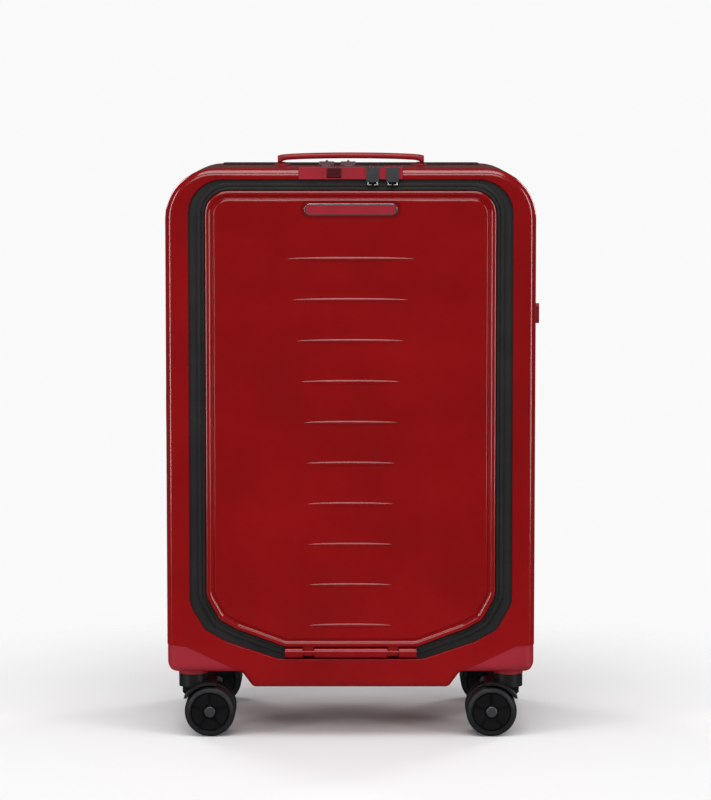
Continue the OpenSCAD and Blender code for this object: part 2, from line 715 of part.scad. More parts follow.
module main_slider(i) color("#3c3d40") translate([main_slider_x[i], split_y, body_top + slider_lift])
    slider(12, 9, 1.8, main_bridge, 2.9, 2.5);

module main_slider_left() main_slider(0);
module main_slider_right() main_slider(1);

// Main pull: a wire ring through the bridge, a tab forward on the case, and a tab that lies on the lock
module main_pull(i) color("#b9bcc0") translate([main_slider_x[i], 0, body_top]) {
    z = slider_lift + 2.9;
    ring_front = split_y - 14;
    translate([0, split_y, z]) rotate([0, 90, 0]) cylinder(h = 14, r = pull_wire, center = true);
    for (side = [-1, 1]) translate([side * 6.2, split_y, z]) rotate([90, 0, 0])
        cylinder(h = split_y - ring_front, r = pull_wire);
    span([-7, lock_rear + 0.5, z - pull_wire], [7, ring_front + 1, z + pull_wire]);
    span([-tip_w / 2, lock_rear - 7, lock_top - body_top + 0.4], [tip_w / 2, lock_rear + 1, z + pull_wire]);
}

module main_pull_left() main_pull(0);
module main_pull_right() main_pull(1);

// Pocket zip's sliders stand on the tape, facing the front
module pocket_slider(i) color("#1d1d20") translate([pocket_slider_x[i], tape_y - 0.4, pocket_slider_z])
    rotate([90, 0, 0]) slider(11, 8, 1.6, 4.6, 2.8, 2.3);

module pocket_slider_left() pocket_slider(0);
module pocket_slider_right() pocket_slider(1);

pocket_pull_y = tape_y - 3.2;

module pocket_pull(i) color("#b9bcc0") translate([pocket_slider_x[i], pocket_pull_y, 0]) {
    top = body_top + 0.8;
    translate([0, 0, pocket_slider_z]) rotate([0, 90, 0]) cylinder(h = 10, r = 0.8, center = true);
    for (side = [-1, 1]) translate([side * 4.2, 0, pocket_slider_z]) cylinder(h = 4.5, r = 0.8);
    span([-5.8, -2.2, pocket_slider_z + 2.9], [5.8, -0.45, top]);
}

module pocket_pull_left() pocket_pull(0);
module pocket_pull_right() pocket_pull(1);

back_shell();
back_lining();
handle_socket();
outer_tubes();
tube_brackets();
middle_tubes();
inner_tubes();
grip();
grip_button();
top_handle();
top_handle_mounts();
side_handle();
side_handle_mounts();
rear_housing_left();
rear_housing_right();
rear_swivel_pins();
expander_frame();
expander_slider();
expander_pull();
front_shell();
main_zip();
pocket_liner();
pocket_zip();
door_hinge();
hinge_pin();
front_housing_left();
front_housing_right();
front_swivel_pins();
lock_housing();
lock_button();
lock_dial_1();
lock_dial_2();
lock_dial_3();
main_slider_left();
main_slider_right();
main_pull_left();
main_pull_right();
pocket_slider_left();
pocket_slider_right();
pocket_pull_left();
pocket_pull_right();
pocket_door();
badge_plate();
fork_front_left();
fork_front_right();
fork_rear_left();
fork_rear_right();
axle_front_left();
axle_front_right();
axle_rear_left();
axle_rear_right();
wheel_front_left_a();
wheel_front_left_b();
wheel_front_right_a();
wheel_front_right_b();
wheel_rear_left_a();
wheel_rear_left_b();
wheel_rear_right_a();
wheel_rear_right_b();
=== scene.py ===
# %% [markdown]
# # Hard shell cabin suitcase
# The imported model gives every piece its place, its size and the body that it moves with. The
# visible shells, zips, wheels and handles are modelled here in finer detail than the frame's
# solids, and the small fittings keep the frame's shapes with softened edges.

# %% Load the frame
import json
import math
import bpy
import bmesh
from mathutils import Vector, Matrix


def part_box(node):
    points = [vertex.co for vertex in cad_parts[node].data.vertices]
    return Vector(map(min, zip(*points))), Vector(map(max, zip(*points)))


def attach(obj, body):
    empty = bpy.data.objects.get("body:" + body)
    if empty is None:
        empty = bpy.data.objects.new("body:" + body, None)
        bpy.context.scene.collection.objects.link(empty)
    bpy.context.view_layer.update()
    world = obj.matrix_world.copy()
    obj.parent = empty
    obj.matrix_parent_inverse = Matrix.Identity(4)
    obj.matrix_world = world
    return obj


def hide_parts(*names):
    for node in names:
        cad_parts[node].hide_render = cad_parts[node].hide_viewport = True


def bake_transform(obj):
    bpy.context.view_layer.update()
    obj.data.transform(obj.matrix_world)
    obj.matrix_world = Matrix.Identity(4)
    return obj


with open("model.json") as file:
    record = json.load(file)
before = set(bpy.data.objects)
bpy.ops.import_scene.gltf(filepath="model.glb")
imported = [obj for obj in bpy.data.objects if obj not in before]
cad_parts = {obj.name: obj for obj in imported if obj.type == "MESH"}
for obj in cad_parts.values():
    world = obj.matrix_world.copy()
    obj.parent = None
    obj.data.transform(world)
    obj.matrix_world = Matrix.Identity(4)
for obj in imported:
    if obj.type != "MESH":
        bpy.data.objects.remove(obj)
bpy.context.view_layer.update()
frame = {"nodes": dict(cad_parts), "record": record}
MM = 0.001

# %% [markdown]
# The case's main sizes come from the frame's own boxes, so a shell drawn here always sits
# exactly where the solid one does.

# %% Main sizes, in metres
SHELL_LOW, SHELL_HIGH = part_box("front_shell")
BACK_LOW, BACK_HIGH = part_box("back_shell")
HOUSING_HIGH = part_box("front_housing_left")[1]
DOOR_LOW, DOOR_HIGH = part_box("pocket_door")
HALF_W = SHELL_HIGH.x
TOP = SHELL_HIGH.z
KEEL = SHELL_LOW.z
BELLY = 62 * MM
FACE = SHELL_LOW.y
FRONT_RIM = SHELL_HIGH.y
BACK_RIM = BACK_LOW.y
BACK_FACE = BACK_HIGH.y
KEEL_HALF = 92.5 * MM
SHOULDER = KEEL_HALF + 10.5 * MM
DOOR_HALF = DOOR_HIGH.x
DOOR_TOP = DOOR_HIGH.z
DOOR_FOOT = 87.5 * MM
EDGE = 7.5 * MM
print("shell", HALF_W * 2000, "mm wide, top at", TOP * 1000)

# %% [markdown]
# One function draws a front-view outline with rounded corners, and another stretches a skin
# through a row of such outlines. Every ring has the same number of points, so a skin is a
# simple grid of quads that takes smooth shading well.

# %% Outline and skin helpers
ARC = 10


def corner_arc(a, p, b, r, steps=ARC):
    """Points that round corner p between its neighbours a and b with radius r."""
    r = max(r, 0.05 * MM)
    u, v = (a - p).normalized(), (b - p).normalized()
    half = math.acos(max(-1, min(1, u.dot(v)))) / 2
    centre = p + (u + v).normalized() * r / math.sin(half)
    first, last = p + u * r / math.tan(half) - centre, p + v * r / math.tan(half) - centre
    start = math.atan2(first.y, first.x)
    sweep = (math.atan2(last.y, last.x) - start + 3 * math.pi) % (2 * math.pi) - math.pi
    return [centre + r * Vector((math.cos(start + sweep * k / steps), math.sin(start + sweep * k / steps)))
            for k in range(steps + 1)]


def outline(pts, radii, grow=0.0):
    """A polygon of (x, z) points grown outwards, with rounded corners."""
    pts = [Vector(p) for p in pts]
    n = len(pts)
    normals = []
    for i in range(n):
        d = (pts[(i + 1) % n] - pts[i]).normalized()
        normals.append(Vector((d.y, -d.x)))
    moved = [pts[i] + grow * (normals[i - 1] + normals[i]) / (1 + normals[i - 1].dot(normals[i]))
             for i in range(n)]
    loop = []
    for i in range(n):
        a, p, b = moved[i - 1], moved[i], moved[(i + 1) % n]
        turn = (p - a).cross(b - p)
        loop += corner_arc(a, p, b, radii[i] + (grow if turn > 0 else -grow))
    return loop


def ring(bm, loop, y):
    """Adds a closed loop of points in the plane y."""
    return [bm.verts.new((p.x, y, p.y)) for p in loop]


def join_rings(bm, a, b):
    """Quads between two rings of equal length."""
    n = len(a)
    for i in range(n):
        bm.faces.new((a[i], a[(i + 1) % n], b[(i + 1) % n], b[i]))


def skin(bm, rings):
    for a, b in zip(rings, rings[1:]):
        join_rings(bm, a, b)


def cap(bm, loop):
    """Fills a flat loop with triangles."""
    edges = [bm.edges.get((loop[i], loop[(i + 1) % len(loop)])) for i in range(len(loop))]
    bmesh.ops.triangle_fill(bm, edges=[e for e in edges if e], use_beauty=True)


def frame_face(bm, outer, inner):
    """Fills the flat border between an outer and an inner loop."""
    edges = []
    for loop in (outer, inner):
        edges += [bm.edges.get((loop[i], loop[(i + 1) % len(loop)])) for i in range(len(loop))]
    bmesh.ops.triangle_fill(bm, edges=edges, use_beauty=True)


def solid(name, bm, smooth_deg=35, merge=0.01 * MM):
    """Turns a bmesh into an object at the origin, with outward faces and smooth shading."""
    if merge:
        bmesh.ops.remove_doubles(bm, verts=bm.verts, dist=merge)
    bmesh.ops.recalc_face_normals(bm, faces=bm.faces)
    mesh = bpy.data.meshes.new(name)
    bm.to_mesh(mesh)
    bm.free()
    mesh.shade_smooth()
    mesh.set_sharp_from_angle(angle=math.radians(smooth_deg))
    obj = bpy.data.objects.new(name, mesh)
    bpy.context.scene.collection.objects.link(obj)
    return obj


def even_shading(obj):
    """Lets the large flat faces set the shading next to narrow rounded edges."""
    mod = obj.modifiers.new("weighted", "WEIGHTED_NORMAL")
    mod.keep_sharp = True
    return obj


def mesh_of(node):
    """A clean copy of a frame node's mesh: merged, with its coplanar triangles joined."""
    bm = bmesh.new()
    bm.from_mesh(frame["nodes"][node].data)
    bmesh.ops.remove_doubles(bm, verts=bm.verts, dist=0.002 * MM)
    if node != "lock_housing":  # its top face has holes, which joined faces would fill
        bmesh.ops.dissolve_limit(bm, angle_limit=math.radians(0.5), verts=bm.verts, edges=bm.edges)
    return bm


def place(obj, body, slot, material, *nodes):
    """Gives a piece its body and material, and hides the frame nodes that it stands for. The slot is not
    used.
    """
    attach(obj, body)
    if nodes:
        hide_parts(*nodes)
    if not obj.data.materials:
        obj.data.materials.append(material)
    return obj


CASE = [(-KEEL_HALF, KEEL), (KEEL_HALF, KEEL), (SHOULDER, BELLY), (HALF_W, BELLY), (HALF_W, TOP),
        (-HALF_W, TOP), (-HALF_W, BELLY), (-SHOULDER, BELLY)]
CASE_R = [r * MM for r in (6, 6, 4, 12, 47, 47, 12, 4)]
print("outline points:", len(outline(CASE, CASE_R)))

# %% [markdown]
# ## Materials
# Each material is named for the real stuff and how it was made. Colours are sRGB hex values,
# turned to linear by one function, and one function adds a node with its settings and links.

# %% Material helpers
def srgb(code, alpha=1.0):
    """A hex colour such as 8a0a0e as linear RGBA."""
    parts = [int(code[i:i + 2], 16) / 255 for i in (0, 2, 4)]
    return tuple(c / 12.92 if c <= 0.04045 else ((c + 0.055) / 1.055) ** 2.4 for c in parts) + (alpha,)


def add(tree, kind, settings=None, links=None):
    """Adds a shader node, sets its sockets or properties, and links its inputs."""
    node = tree.nodes.new(kind)
    for key, value in (settings or {}).items():
        if key in node.inputs:
            node.inputs[key].default_value = value
        else:
            setattr(node, key, value)
    for key, source in (links or {}).items():
        tree.links.new(source, node.inputs[key])
    return node


def material(name, colour, **sockets):
    """A Principled material; returns it with its tree, shader and object coordinates."""
    mat = bpy.data.materials.new(name)
    mat.use_nodes = True
    tree = mat.node_tree
    shader = tree.nodes["Principled BSDF"]
    shader.inputs["Base Color"].default_value = srgb(colour)
    for key, value in sockets.items():
        shader.inputs[key.replace("_", " ")].default_value = value
    coords = add(tree, "ShaderNodeTexCoord").outputs["Object"]
    return mat, tree, shader, coords


def bump(tree, shader, height, strength, distance):
    node = add(tree, "ShaderNodeBump", {"Strength": strength, "Distance": distance}, {"Height": height})
    tree.links.new(node.outputs["Normal"], shader.inputs["Normal"])
    return node


def mottle(tree, shader, coords, low, high, scale, detail=4.0):
    """Varies the base colour between two hex colours with soft noise."""
    noise = add(tree, "ShaderNodeTexNoise", {"Scale": scale, "Detail": detail}, {"Vector": coords})
    ramp = add(tree, "ShaderNodeValToRGB", links={"Fac": noise.outputs["Fac"]})
    ramp.color_ramp.elements[0].position = 0.3
    ramp.color_ramp.elements[0].color = srgb(low)
    ramp.color_ramp.elements[1].position = 0.7
    ramp.color_ramp.elements[1].color = srgb(high)
    tree.links.new(ramp.outputs["Color"], shader.inputs["Base Color"])
    return noise


def vary_roughness(tree, shader, coords, low, high, scale):
    noise = add(tree, "ShaderNodeTexNoise", {"Scale": scale, "Detail": 6.0}, {"Vector": coords})
    span = add(tree, "ShaderNodeMapRange", {"To Min": low, "To Max": high}, {"Value": noise.outputs["Fac"]})
    tree.links.new(span.outputs["Result"], shader.inputs["Roughness"])


# %% [markdown]
# The shells are polycarbonate sheet, drawn over a mould while hot: deep red, glossy, with a
# faint orange peel and hairline handling marks that only show in the highlights.

# %% Shell and moulded plastics
def polycarbonate():
    mat, tree, shader, coords = material("polycarbonate_thermoformed", "8c0206", Roughness=0.16,
                                         IOR=1.58, Coat_Weight=0.35, Coat_Roughness=0.06)
    mottle(tree, shader, coords, "820104", "930307", 9)
    vary_roughness(tree, shader, coords, 0.12, 0.21, 60)
    peel = add(tree, "ShaderNodeTexNoise", {"Scale": 260.0, "Detail": 2.0}, {"Vector": coords})
    bump(tree, shader, peel.outputs["Fac"], 0.05, 0.0004)
    return mat


def grained_plastic(name, low, high, roughness, grain=900.0, strength=0.25):
    mat, tree, shader, coords = material(name, low, Roughness=roughness, IOR=1.49)
    mottle(tree, shader, coords, low, high, 25)
    speck = add(tree, "ShaderNodeTexNoise", {"Scale": grain, "Detail": 3.0}, {"Vector": coords})
    bump(tree, shader, speck.outputs["Fac"], strength, 0.0002)
    return mat


RED_SHELL = polycarbonate()
RED_MATTE = grained_plastic("abs_spark_textured_crimson", "96091f", "a50d27", 0.5)
RED_SOFT = grained_plastic("soft_touch_elastomer_red", "8f0b16", "a2101d", 0.42, 600, 0.15)
BLACK_MATTE = grained_plastic("nylon_moulded_black", "151516", "1d1d1f", 0.42)
BLACK_GLOSS = grained_plastic("abs_polished_black", "101011", "161617", 0.2, 500, 0.06)
TYRE = grained_plastic("polyurethane_cast_black", "18181a", "222225", 0.46, 700, 0.2)
LOCK_DARK = grained_plastic("abs_moulded_dark_red", "4a060b", "580a10", 0.35)

# %% [markdown]
# Zip tape is a tight woven tape with a thin polyurethane coat, so it shows a fine rib and a
# soft sheen. The lining is plain woven polyester. Threads are drawn about 0.8 mm apart,
# coarser than life, so that they show.

# %% Woven materials
def woven(name, low, high, pitch_mm, roughness, strength, sheen):
    mat, tree, shader, coords = material(name, low, Roughness=roughness, Sheen_Weight=sheen,
                                         Sheen_Roughness=0.4)
    mottle(tree, shader, coords, low, high, 40)
    scale = 1 / (pitch_mm * MM) / 20 * math.pi
    warp = add(tree, "ShaderNodeTexWave", {"Scale": scale, "bands_direction": "X"}, {"Vector": coords})
    weft = add(tree, "ShaderNodeTexWave", {"Scale": scale, "bands_direction": "Z"}, {"Vector": coords})
    both = add(tree, "ShaderNodeMath", {"operation": "MULTIPLY"})
    tree.links.new(warp.outputs["Fac"], both.inputs[0])
    tree.links.new(weft.outputs["Fac"], both.inputs[1])
    bump(tree, shader, both.outputs["Value"], strength, 0.0003)
    return mat


TAPE = woven("zip_tape_pu_coated", "171515", "211e1d", 0.8, 0.55, 0.35, 0.2)
LINING = woven("polyester_lining_grey", "3c3f45", "464a50", 0.9, 0.8, 0.4, 0.3)

# %% [markdown]
# The metals: chromed zinc castings for pulls and badge, gunmetal for slider bodies, plain
# steel for pins, and drawn tube that was brushed along its length and anodised.

# %% Metals
def metal(name, colour, low, high, scale=80, stretch=(1, 1, 1)):
    mat, tree, shader, coords = material(name, colour, Metallic=1.0)
    spread = add(tree, "ShaderNodeMapping", {"Scale": stretch}, {"Vector": coords})
    vary_roughness(tree, shader, spread.outputs["Vector"], low, high, scale)
    return mat


CHROME = metal("zinc_chromed_satin", "c9c9cd", 0.16, 0.3)
GUNMETAL = metal("zinc_gunmetal_plated", "55565a", 0.25, 0.4)
STEEL = metal("steel_turned", "a2a3a6", 0.25, 0.45)
ALU = metal("aluminium_drawn_anodised", "b9bcc0", 0.22, 0.4, 60, (40, 40, 1))
print("materials:", len(bpy.data.materials))

# %% [markdown]
# ## Camera, light and floor
# A long lens stands a little above the case's top. The flat red front should stay deep red, so
# the lights are strips and a top box that only the rounded edges mirror, and the floor and the
# backdrop light the case without showing in its gloss.

# %% Camera
camera_data = bpy.data.cameras.new("camera")
camera_data.lens = 147.3
camera = bpy.data.objects.new("camera", camera_data)
bpy.context.scene.collection.objects.link(camera)
camera.location = (0.0045, -3.165, 0.61)
camera.rotation_euler = (math.radians(90 - 5.4), 0, 0)
bpy.context.scene.camera = camera


# %% Lights, floor and backdrop
def area(name, place_at, aim, size, watts, colour=(1, 1, 1)):
    data = bpy.data.lights.new(name, "AREA")
    data.shape, data.size, data.size_y = "RECTANGLE", size[0], size[1]
    data.energy, data.color = watts, colour
    lamp = bpy.data.objects.new(name, data)
    bpy.context.scene.collection.objects.link(lamp)
    lamp.location = place_at
    way = Vector(aim) - Vector(place_at)
    lamp.rotation_euler = way.to_track_quat("-Z", "Y").to_euler()
    return lamp


area("top_box", (0.0, -0.7, 2.1), (0, 0, 0.35), (1.6, 1.2), 20)
area("left_strip", (-1.9, -1.5, 0.75), (0, 0, 0.3), (0.35, 1.7), 13)
area("right_strip", (1.9, -1.5, 0.75), (0, 0, 0.3), (0.35, 1.7), 13)
area("front_fill", (-0.2, -3.4, 2.3), (0, 0, 0.25), (2.4, 1.0), 23)
area("back_left", (-1.6, 1.9, 1.4), (0, 0, 0.3), (0.8, 1.4), 16)
area("back_right", (1.7, 1.8, 1.2), (0, 0, 0.3), (0.6, 1.4), 16)

world = bpy.data.worlds.new("studio")
bpy.context.scene.world = world
world.use_nodes = True
sky = world.node_tree
room = sky.nodes["Background"]
room.inputs["Color"].default_value = (0.96, 0.97, 1.0, 1)
room.inputs["Strength"].default_value = 0.38
dim = add(sky, "ShaderNodeBackground", {"Color": (0.96, 0.97, 1.0, 1), "Strength": 0.06})
paper = add(sky, "ShaderNodeBackground", {"Color": (0.95, 0.95, 0.95, 1), "Strength": 1.0})
seen = add(sky, "ShaderNodeLightPath")
gloss = add(sky, "ShaderNodeMixShader", {}, {0: seen.outputs["Is Glossy Ray"], 1: room.outputs["Background"],
                                             2: dim.outputs["Background"]})
choose = add(sky, "ShaderNodeMixShader", {}, {0: seen.outputs["Is Camera Ray"], 1: gloss.outputs["Shader"],
                                              2: paper.outputs["Background"]})
sky.links.new(choose.outputs["Shader"], sky.nodes["World Output"].inputs["Surface"])
bpy.context.scene.view_settings.view_transform = "Standard"


def stage_plane(name, size, colour):
    bm = bmesh.new()
    bmesh.ops.create_grid(bm, x_segments=1, y_segments=1, size=size)
    obj = solid(name, bm, merge=0)
    mat, tree, shader, coords = material(name + "_paper", colour, Roughness=0.9)
    shader.inputs["Specular IOR Level"].default_value = 0.1
    # the paper fades into the backdrop away from the case
    far = add(tree, "ShaderNodeVectorMath", {"operation": "LENGTH"}, {0: coords})
    fade = add(tree, "ShaderNodeMapRange", {"From Min": 0.3, "From Max": 0.75},
               {"Value": far.outputs["Value"]})
    fade.interpolation_type = "SMOOTHERSTEP"
    clear = add(tree, "ShaderNodeBsdfTransparent")
    both = add(tree, "ShaderNodeMixShader", {}, {0: fade.outputs["Result"], 1: shader.outputs["BSDF"],
                                                 2: clear.outputs["BSDF"]})
    tree.links.new(both.outputs["Shader"], tree.nodes["Material Output"].inputs["Surface"])
    obj.data.materials.append(mat)
    return obj


floor = stage_plane("floor", 14, "fbfbfb")
floor.visible_glossy = False
print("camera height", round(camera.location.z, 3))

# %% [markdown]
# ## Shells
# Each half is drawn as a stack of front-view outlines: from its open rim, along the side wall,
# round the edge and onto the face. An inner wall follows it 2.5 mm inside. The corners that the
# wheel housings fill are then cut away with a boolean, as the mould's trim knife does.

# %% Shell halves
WALL = 2.5 * MM
CHANNEL_LOW = DOOR_FOOT - 12 * MM
CHANNEL_HALF = DOOR_HALF + 15.7 * MM
CHANNEL_TOP = DOOR_TOP + 10 * MM


def half_pts(width, low, high, steps):
    """A symmetric outline: the flat foot's half width, then (inset, rise) steps up to the side."""
    right = [(width - dx, low + dz) for dx, dz in steps]
    foot = 62 * MM if low > CHANNEL_LOW + 1 * MM else 68 * MM
    pts = [(-foot, low), (foot, low)] + right + [(width, high), (-width, high)]
    return pts + [(-x, z) for x, z in reversed(right)]


DOOR = half_pts(DOOR_HALF, DOOR_FOOT, DOOR_TOP,
                [(28 * MM, 17 * MM), (12 * MM, 26 * MM), (0, 48 * MM)])
CHANNEL = half_pts(CHANNEL_HALF, CHANNEL_LOW, CHANNEL_TOP,
                   [(34 * MM, 16.5 * MM), (14 * MM, 27.5 * MM), (0, 52 * MM)])
DOOR_R = [r * MM for r in (20, 20, 20, 12, 20, 22, 22, 20, 12, 20)]
CHANNEL_R = [r * MM for r in (20, 20, 20, 12, 20, 32, 32, 20, 12, 20)]


def wall_rings(bm, rim, face, inset, extra=()):
    """Rings of one wall from the rim to the face; way is the direction from face to rim."""
    way = 1 if rim > face else -1
    r = EDGE - inset
    steps = [(0, rim)] + [(0, y) for y in extra] + [(0, face + way * EDGE)]
    steps += [(-r * (1 - math.cos(a)), face + way * (inset + r * (1 - math.sin(a))))
              for a in [math.radians(90 * k / 6) for k in range(1, 7)]]
    return [ring(bm, outline(CASE, CASE_R, g - inset), y) for g, y in steps]


def cutter(pts, y0, y1):
    """A prism to cut with, from a front-view polygon."""
    bm = bmesh.new()
    a, b = [[bm.verts.new((x, y, z)) for x, z in pts] for y in (y0, y1)]
    join_rings(bm, a, b)
    bm.faces.new(a)
    bm.faces.new(b)
    obj = solid("cutter", bm)
    return obj


def cut(obj, tools):
    """Applies exact boolean differences and removes the tools."""
    for tool in tools:
        mod = obj.modifiers.new("cut", "BOOLEAN")
        mod.operation, mod.object, mod.solver = "DIFFERENCE", tool, "EXACT"
    deps = bpy.context.evaluated_depsgraph_get()
    mesh = bpy.data.meshes.new_from_object(obj.evaluated_get(deps))
    obj.modifiers.clear()
    obj.data = mesh
    mesh.shade_smooth()
    mesh.set_sharp_from_angle(angle=math.radians(30))
    for tool in tools:
        bpy.data.objects.remove(tool)
    return obj


HOUSING_RISE = HOUSING_HIGH.z
FIT = 0.15 * MM


def housing_cutters(y0, y1):
    tools = []
    for side in (-1, 1):
        pts = [(side * x, z) for x, z in [(HALF_W + 0.01, BELLY - 0.03), (SHOULDER - FIT, BELLY - 0.03),
                                          (SHOULDER - FIT, BELLY + FIT / 2),
                                          (HALF_W - 18.5 * MM, HOUSING_RISE - 3 * MM + FIT),
                                          (HALF_W + 0.01, HOUSING_RISE + FIT)]]
        tools.append(cutter(pts, y0, y1))
    return tools


def front_shell():
    bm = bmesh.new()
    outer = wall_rings(bm, FRONT_RIM, FACE, 0)
    inner = wall_rings(bm, FRONT_RIM, FACE, WALL)
    skin(bm, outer)
    skin(bm, inner)
    join_rings(bm, outer[0], inner[0])
    lip = [ring(bm, outline(CHANNEL, CHANNEL_R, g), y) for g, y in
           [(1.5 * MM, FACE), (0.7 * MM, FACE + 0.3 * MM), (0.2 * MM, FACE + 1.2 * MM),
            (0, FACE + 2.4 * MM), (0, FACE + WALL), (0.8 * MM, FACE + WALL)]]
    skin(bm, lip)
    frame_face(bm, outer[-1], lip[0])
    frame_face(bm, inner[-1], lip[-1])
    obj = solid("front_shell_skin", bm)
    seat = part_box("lock_housing")
    lock_seat = cutter([(seat[0].x - FIT, 0.5275), (seat[1].x + FIT, 0.5275), (seat[1].x + FIT, TOP + 0.01),
                        (seat[0].x - FIT, TOP + 0.01)], FACE - 0.01, seat[1].y + FIT)
    return cut(obj, housing_cutters(FACE - 0.01, HOUSING_HIGH.y + FIT) + [lock_seat])


even_shading(place(front_shell(), "front_half", "polycarbonate", RED_SHELL, "front_shell"))


def back_shell():
    bm = bmesh.new()
    outer = wall_rings(bm, BACK_RIM, BACK_FACE, 0)
    inner = wall_rings(bm, BACK_RIM, BACK_FACE, WALL)
    skin(bm, outer)
    skin(bm, inner)
    join_rings(bm, outer[0], inner[0])
    # grooves pressed into the flat back, as stiffening
    tracks = [ring(bm, outline(CASE, CASE_R, g * MM), BACK_FACE - d * MM) for g, d in
              [(-21, 0), (-22, 0.5), (-23.5, 0.9), (-25, 0.5), (-26, 0)]]
    skin(bm, tracks)
    frame_face(bm, outer[-1], tracks[0])
    cap(bm, tracks[-1])
    cap(bm, inner[-1])
    obj = solid("back_shell_skin", bm)
    low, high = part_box("handle_socket")
    socket = cutter([(low.x + 2 * MM, low.z - 3 * MM), (high.x - 2 * MM, low.z - 3 * MM),
                     (high.x - 2 * MM, TOP + 0.01), (low.x + 2 * MM, TOP + 0.01)],
                    low.y + 1 * MM, high.y - 1 * MM)
    return cut(obj, housing_cutters(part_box("rear_housing_left")[0].y - FIT, BACK_FACE + 0.01) + [socket])


even_shading(place(back_shell(), "back_half", "polycarbonate", RED_SHELL, "back_shell"))
print("shells done")

# %% [markdown]
# ## Pocket door
# The door is a separate pressing: a rounded rim, a narrow groove, and a raised panel that
# swells slightly between its lens-shaped ribs. The panel is a fine grid whose rows follow the
# outline, so the gentle waves are real shape and catch the light.

# %% Door panel
DOOR_FRONT = DOOR_LOW.y
PANEL_Y = DOOR_FRONT + 1.2 * MM
RIB_COUNT, RIB_PITCH = 10, 38.4 * MM
RIB_FIRST = DOOR_FOOT + 20.5 * MM


def half_width(loop, z):
    """Half the width of a symmetric outline at height z."""
    widest = 0
    for a, b in zip(loop, loop[1:] + loop[:1]):
        if min(a.y, b.y) - 1e-9 <= z <= max(a.y, b.y) + 1e-9:
            t = 0 if abs(b.y - a.y) < 1e-9 else (z - a.y) / (b.y - a.y)
            widest = max(widest, abs(a.x + t * (b.x - a.x)), abs(a.x) if t == 0 else 0)
    return widest


def panel_grid(bm, loop, y_at, rows=190, columns=36):
    low, high = min(p.y for p in loop), max(p.y for p in loop)
    grid = []
    for i in range(rows + 1):
        s = i / rows
        ease = 0.85 * s + 0.15 * (1 - math.cos(math.pi * s)) / 2
        z = low + (high - low) * ease
        w = half_width(loop, z)
        grid.append([bm.verts.new((w * (2 * j / columns - 1), y_at(w * (2 * j / columns - 1), z, w), z))
                     for j in range(columns + 1)])
    for a, b in zip(grid, grid[1:]):
        for j in range(columns):
            bm.faces.new((a[j], a[j + 1], b[j + 1], b[j]))


def panel_height(x, z, w):
    """The panel swells by up to 0.45 mm midway between ribs, and is level at its edge."""
    edge = min(1.0, max(0.0, (w - abs(x)) / (45 * MM)))
    ends = min(1.0, max(0.0, min(z - DOOR_FOOT - 10 * MM, DOOR_TOP - 40 * MM - z) / (25 * MM)))
    wave = 0.5 - 0.5 * math.cos(2 * math.pi * (z - RIB_FIRST) / RIB_PITCH)
    smooth = edge * edge * (3 - 2 * edge)
    return PANEL_Y - 0.02 * MM - 0.45 * MM * wave * smooth * max(0, ends)


def rib(bm, z, length):
    """One lens-shaped rib, half sunk in the panel."""
    made = bmesh.ops.create_uvsphere(bm, u_segments=24, v_segments=12, radius=1.0)
    place_at = Matrix.Translation((0, PANEL_Y + 0.05 * MM, z))
    bmesh.ops.transform(bm, matrix=place_at @ Matrix.Diagonal((length / 2, 1.25 * MM, 2.1 * MM, 1)),
                        verts=made["verts"])


def door_skin():
    bm = bmesh.new()
    back = DOOR_FRONT + 6 * MM
    steps = [(-1.5, back), (0, back), (0, DOOR_FRONT + 3.4 * MM), (-0.35, DOOR_FRONT + 2.4 * MM),
             (-1.2, DOOR_FRONT + 1.85 * MM), (-2.4, DOOR_FRONT + 1.7 * MM), (-3.6, DOOR_FRONT + 1.9 * MM),
             (-4.6, DOOR_FRONT + 2.7 * MM), (-5.2, DOOR_FRONT + 3.1 * MM), (-6.9, DOOR_FRONT + 3.1 * MM),
             (-7.5, DOOR_FRONT + 2.7 * MM), (-8.0, DOOR_FRONT + 1.8 * MM), (-8.6, PANEL_Y + 0.15 * MM),
             (-9.6, PANEL_Y), (-14, PANEL_Y + 0.01 * MM)]
    rings = [ring(bm, outline(DOOR, DOOR_R, g * MM), y) for g, y in steps]
    skin(bm, rings)
    cap(bm, rings[0])
    cap(bm, rings[-1])
    obj = solid("door_rim", bm)
    low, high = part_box("badge_plate")
    mid_z = (low.z + high.z) / 2
    seat = cutter(rounded((93 * MM, 17 * MM), mid_z, 7.5 * MM), DOOR_FRONT - 0.01, PANEL_Y + 1.4 * MM)
    return cut(obj, [seat])


def rounded(size, mid_z, r, mid_x=0.0):
    """Corner points of a rounded rectangle seen from the front."""
    w, h = size[0] / 2, size[1] / 2
    box = [(mid_x - w, mid_z - h), (mid_x + w, mid_z - h), (mid_x + w, mid_z + h), (mid_x - w, mid_z + h)]
    return [(p.x, p.y) for p in outline(box, [r] * 4)]


def door_panel():
    bm = bmesh.new()
    panel_grid(bm, outline(DOOR, DOOR_R, -9.4 * MM), panel_height)
    front = solid("door_panel", bm, 60)
    low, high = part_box("badge_plate")
    seat = cutter(rounded((93 * MM, 17 * MM), (low.z + high.z) / 2, 7.5 * MM),
                  DOOR_FRONT - 0.01, PANEL_Y + 0.01)
    mod = front.modifiers.new("wall", "SOLIDIFY")
    mod.thickness, mod.offset = 0.5 * MM, 0
    return cut(front, [seat])


def door_ribs():
    bm = bmesh.new()
    for i in range(RIB_COUNT):
        rib(bm, RIB_FIRST + RIB_PITCH * i, (82 + 42 * (i / (RIB_COUNT - 1)) ** 2.5) * MM)
    return solid("door_ribs", bm, 60)


rim = door_skin()
place(rim, "pocket_door", "polycarbonate", RED_SHELL, "pocket_door")
place(door_panel(), "pocket_door", "polycarbonate", RED_SHELL)
place(door_ribs(), "pocket_door", "polycarbonate", RED_SHELL)
print("door done")

